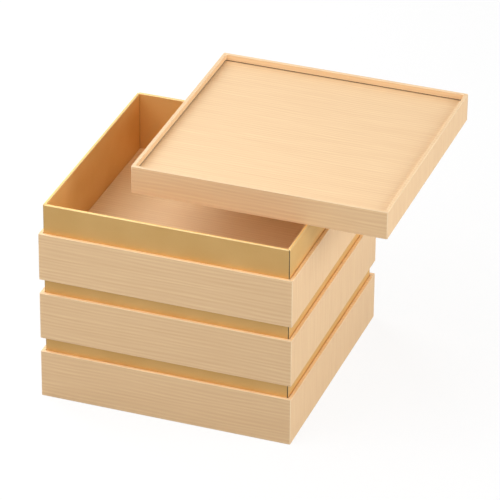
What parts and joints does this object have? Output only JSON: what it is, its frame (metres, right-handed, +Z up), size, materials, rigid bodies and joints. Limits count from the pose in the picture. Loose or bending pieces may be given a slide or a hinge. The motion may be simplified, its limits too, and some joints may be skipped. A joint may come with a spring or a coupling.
{
  "type": "stacking paper box",
  "caption": "Square stacking box of paper-covered board with gold-lined tiers, each on the liner of the one below, and a lid with a sunk panel.",
  "frame": {"origin": "middle of the plan of the box with its lid set aside, on the plane that the box stands on", "axes": "+Z up, +X to the right along the front of the box, +Y to the back"},
  "size_m": [0.251, 0.237, 0.182],
  "materials": {
    "wood_grain_paper": "matt printed wood grain",
    "gold_paper": "satin metallic gold",
    "chipboard": "raw grey board",
    "lining_paper": "plain matt"
  },
  "bodies": {
    "tier_1": {"wall_board_1": "chipboard", "wall_paper_1": "wood_grain_paper", "packing_band_1": "chipboard", "liner_board_front_1": "chipboard", "liner_board_right_1": "chipboard", "liner_board_back_1": "chipboard", "liner_board_left_1": "chipboard", "gold_paper_front_1": "gold_paper", "gold_paper_right_1": "gold_paper", "gold_paper_back_1": "gold_paper", "gold_paper_left_1": "gold_paper", "base_paper_1": "lining_paper", "floor_board_1": "chipboard", "floor_paper_1": "wood_grain_paper"},
    "tier_2": {"wall_board_2": "chipboard", "wall_paper_2": "wood_grain_paper", "packing_band_2": "chipboard", "liner_board_front_2": "chipboard", "liner_board_right_2": "chipboard", "liner_board_back_2": "chipboard", "liner_board_left_2": "chipboard", "gold_paper_front_2": "gold_paper", "gold_paper_right_2": "gold_paper", "gold_paper_back_2": "gold_paper", "gold_paper_left_2": "gold_paper", "base_paper_2": "lining_paper", "floor_board_2": "chipboard", "floor_paper_2": "wood_grain_paper"},
    "tier_3": {"wall_board_3": "chipboard", "wall_paper_3": "wood_grain_paper", "packing_band_3": "chipboard", "liner_board_front_3": "chipboard", "liner_board_right_3": "chipboard", "liner_board_back_3": "chipboard", "liner_board_left_3": "chipboard", "gold_paper_front_3": "gold_paper", "gold_paper_right_3": "gold_paper", "gold_paper_back_3": "gold_paper", "gold_paper_left_3": "gold_paper", "base_paper_3": "lining_paper", "floor_board_3": "chipboard", "floor_paper_3": "wood_grain_paper"},
    "lid": {"lid_frame_board": "chipboard", "lid_frame_paper": "wood_grain_paper", "lid_panel_board": "chipboard", "lid_panel_paper": "wood_grain_paper", "lid_lining_paper": "lining_paper"}
  },
  "joints": [
    {"name": "tier_2_lift", "type": "slide", "parent": "tier_1", "child": "tier_2", "axis": [0, 0, 1], "range_m": [0, 0.06]},
    {"name": "tier_3_lift", "type": "slide", "parent": "tier_2", "child": "tier_3", "axis": [0, 0, 1], "range_m": [0, 0.06]},
    {"name": "lid_return", "type": "slide", "parent": "tier_3", "child": "lid", "axis": [-0.7353, -0.5515, 0.3939], "range_m": [0, 0.07616]}
  ]
}
